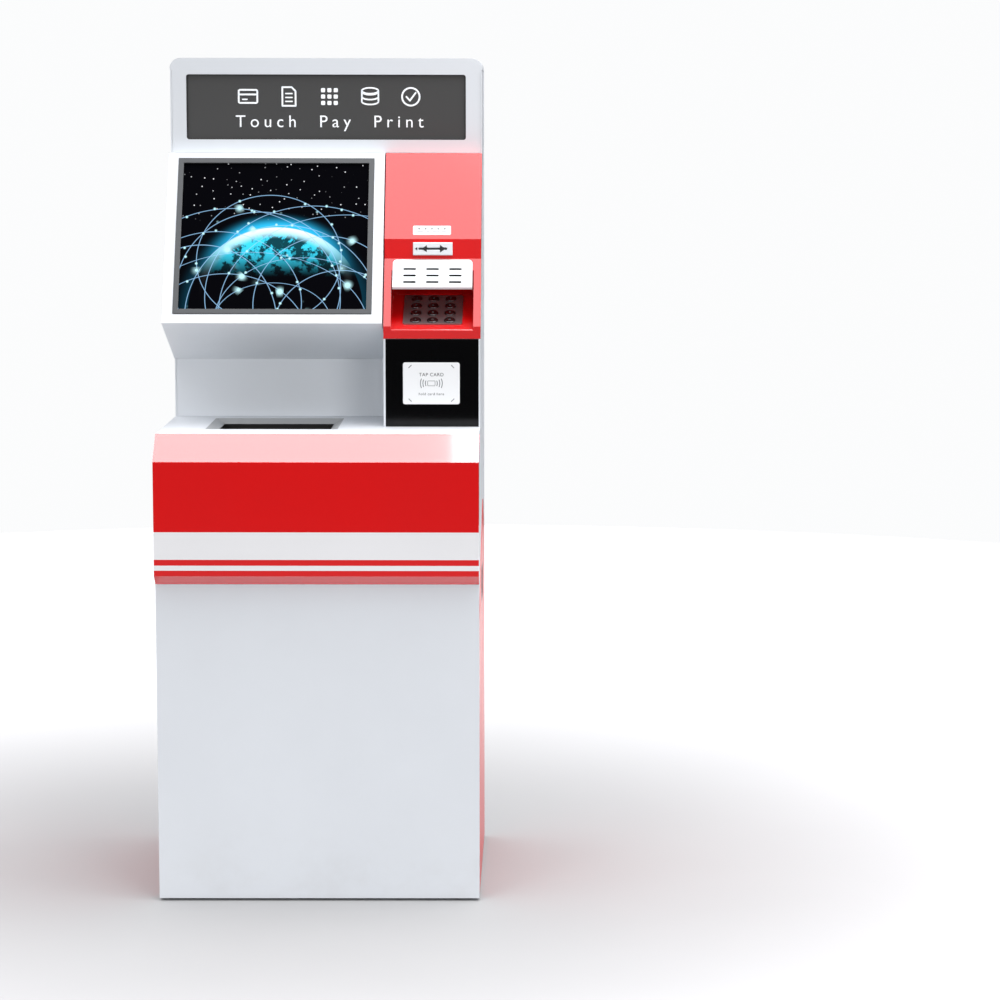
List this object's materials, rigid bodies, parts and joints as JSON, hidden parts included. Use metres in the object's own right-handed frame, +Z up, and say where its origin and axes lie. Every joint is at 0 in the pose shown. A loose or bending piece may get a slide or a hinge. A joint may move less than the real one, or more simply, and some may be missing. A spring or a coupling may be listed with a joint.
{
  "type": "self-service kiosk terminal",
  "caption": "Free-standing self-service kiosk with sloped touch screen, card reader, hooded keypad, contactless panel, paper outlet and opening doors.",
  "frame": {"origin": "on the floor, under the middle of the cabinet", "axes": "+Z up, +Y towards the back, +X to the user's right"},
  "size_m": [0.64, 0.55, 1.677],
  "materials": {
    "white_steel": "fine powder coat",
    "white_plastic": "satin moulded",
    "red_gloss": "gloss lacquer",
    "sign_face": "satin sign face",
    "grey_bezel": "satin grey",
    "outlet_grey": "satin grey",
    "screen_glass": "polished",
    "black_gloss": "polished black",
    "black_plastic": "fine texture",
    "zinc_steel": "zinc plated",
    "pin_steel": "bright steel",
    "key_metal": "polished dark metal",
    "plate_metal": "dark brushed",
    "lamp": "lamp bar",
    "roller_rubber": "ground rubber"
  },
  "bodies": {
    "cabinet": {"side_panel_left": "white_steel", "side_panel_right": "white_steel", "header_shell": "white_steel", "rear_frame": "white_steel", "nook_cheek": "white_steel", "riser_panel": "white_steel", "ledge_top": "white_steel", "screen_housing": "white_plastic", "card_bezel": "white_plastic", "keypad_hood": "white_plastic", "side_graphics": "red_gloss", "column_fascia": "red_gloss", "keypad_pocket": "red_gloss", "header_sign": "sign_face", "screen_bezel": "grey_bezel", "outlet_rim": "outlet_grey", "touch_glass": "screen_glass", "contactless_panel": "black_gloss", "pull_handles": "black_plastic", "paper_chute": "black_plastic", "card_reader": "black_plastic", "power_inlet": "black_plastic", "switch_body": "black_plastic", "display_module": "black_plastic", "keypad_base": "black_plastic", "printer": "black_plastic", "base_frame": "zinc_steel", "equipment_shelf": "zinc_steel", "switch_box": "zinc_steel", "power_supply": "zinc_steel", "computer": "zinc_steel", "hinge_leaves": "zinc_steel", "hinge_pins": "pin_steel", "levelling_feet": "pin_steel", "keypad_plate": "plate_metal", "header_lamp": "lamp"},
    "front_door": {"front_door": "white_steel", "nose_hood": "red_gloss"},
    "door_bolt": {"door_bolt": "pin_steel"},
    "rear_door": {"rear_door": "white_steel", "fan_frame": "black_plastic"},
    "rear_lock": {"rear_lock": "pin_steel"},
    "fan_rotor": {"fan_rotor": "black_plastic"},
    "service_hatch": {"service_hatch": "red_gloss"},
    "hatch_lock": {"hatch_lock": "white_plastic"},
    "rocker_switch": {"rocker_switch": "black_plastic"},
    "outfeed_roller": {"outfeed_roller": "roller_rubber"},
    "key_1": {"key_1": "key_metal"},
    "key_2": {"key_2": "key_metal"},
    "key_3": {"key_3": "key_metal"},
    "key_4": {"key_4": "key_metal"},
    "key_5": {"key_5": "key_metal"},
    "key_6": {"key_6": "key_metal"},
    "key_7": {"key_7": "key_metal"},
    "key_8": {"key_8": "key_metal"},
    "key_9": {"key_9": "key_metal"},
    "key_star": {"key_star": "key_metal"},
    "key_0": {"key_0": "key_metal"},
    "key_hash": {"key_hash": "key_metal"}
  },
  "joints": [
    {"name": "front_door_hinge", "type": "hinge", "parent": "cabinet", "child": "front_door", "pos_m": [-0.316, -0.225, 0.4], "axis": [0, 0, -1], "range_deg": [0, 95]},
    {"name": "door_bolt_slide", "type": "slide", "parent": "front_door", "child": "door_bolt", "axis": [1, 0, 0], "range_m": [0, 0.012]},
    {"name": "rear_door_hinge", "type": "hinge", "parent": "cabinet", "child": "rear_door", "pos_m": [-0.316, 0.271, 0.8], "axis": [0, 0, 1], "range_deg": [0, 110]},
    {"name": "rear_lock_turn", "type": "hinge", "parent": "rear_door", "child": "rear_lock", "pos_m": [0.2787, 0.271, 0.897], "axis": [0, 1, 0], "range_deg": [0, 90]},
    {"name": "fan_spin", "type": "hinge", "parent": "rear_door", "child": "fan_rotor", "pos_m": [0, 0.271, 1.552], "axis": [0, 1, 0], "continuous": true},
    {"name": "hatch_hinge", "type": "hinge", "parent": "cabinet", "child": "service_hatch", "pos_m": [0.3165, 0.06175, 0.461], "axis": [0, 0, 1], "range_deg": [0, 100]},
    {"name": "hatch_lock_turn", "type": "hinge", "parent": "service_hatch", "child": "hatch_lock", "pos_m": [0.315, 0.0272, 0.49765], "axis": [-1, 0, 0], "range_deg": [0, 90]},
    {"name": "rocker_tilt", "type": "hinge", "parent": "cabinet", "child": "rocker_switch", "pos_m": [0.25, 0.0272, 0.457], "axis": [0, 1, 0], "range_deg": [0, 18]},
    {"name": "outfeed_spin", "type": "hinge", "parent": "cabinet", "child": "outfeed_roller", "pos_m": [-0.098, 0.0548, 0.827], "axis": [1, 0, 0], "continuous": true},
    {"name": "press_1", "type": "slide", "parent": "cabinet", "child": "key_1", "axis": [0, 0.4067, -0.9135], "range_m": [0, 0.002], "stiffness_N_per_m": 400, "springref_m": -0.001},
    {"name": "press_2", "type": "slide", "parent": "cabinet", "child": "key_2", "axis": [0, 0.4067, -0.9135], "range_m": [0, 0.002], "stiffness_N_per_m": 400, "springref_m": -0.001},
    {"name": "press_3", "type": "slide", "parent": "cabinet", "child": "key_3", "axis": [0, 0.4067, -0.9135], "range_m": [0, 0.002], "stiffness_N_per_m": 400, "springref_m": -0.001},
    {"name": "press_4", "type": "slide", "parent": "cabinet", "child": "key_4", "axis": [0, 0.4067, -0.9135], "range_m": [0, 0.002], "stiffness_N_per_m": 400, "springref_m": -0.001},
    {"name": "press_5", "type": "slide", "parent": "cabinet", "child": "key_5", "axis": [0, 0.4067, -0.9135], "range_m": [0, 0.002], "stiffness_N_per_m": 400, "springref_m": -0.001},
    {"name": "press_6", "type": "slide", "parent": "cabinet", "child": "key_6", "axis": [0, 0.4067, -0.9135], "range_m": [0, 0.002], "stiffness_N_per_m": 400, "springref_m": -0.001},
    {"name": "press_7", "type": "slide", "parent": "cabinet", "child": "key_7", "axis": [0, 0.4067, -0.9135], "range_m": [0, 0.002], "stiffness_N_per_m": 400, "springref_m": -0.001},
    {"name": "press_8", "type": "slide", "parent": "cabinet", "child": "key_8", "axis": [0, 0.4067, -0.9135], "range_m": [0, 0.002], "stiffness_N_per_m": 400, "springref_m": -0.001},
    {"name": "press_9", "type": "slide", "parent": "cabinet", "child": "key_9", "axis": [0, 0.4067, -0.9135], "range_m": [0, 0.002], "stiffness_N_per_m": 400, "springref_m": -0.001},
    {"name": "press_star", "type": "slide", "parent": "cabinet", "child": "key_star", "axis": [0, 0.4067, -0.9135], "range_m": [0, 0.002], "stiffness_N_per_m": 400, "springref_m": -0.001},
    {"name": "press_0", "type": "slide", "parent": "cabinet", "child": "key_0", "axis": [0, 0.4067, -0.9135], "range_m": [0, 0.002], "stiffness_N_per_m": 400, "springref_m": -0.001},
    {"name": "press_hash", "type": "slide", "parent": "cabinet", "child": "key_hash", "axis": [0, 0.4067, -0.9135], "range_m": [0, 0.002], "stiffness_N_per_m": 400, "springref_m": -0.001}
  ]
}
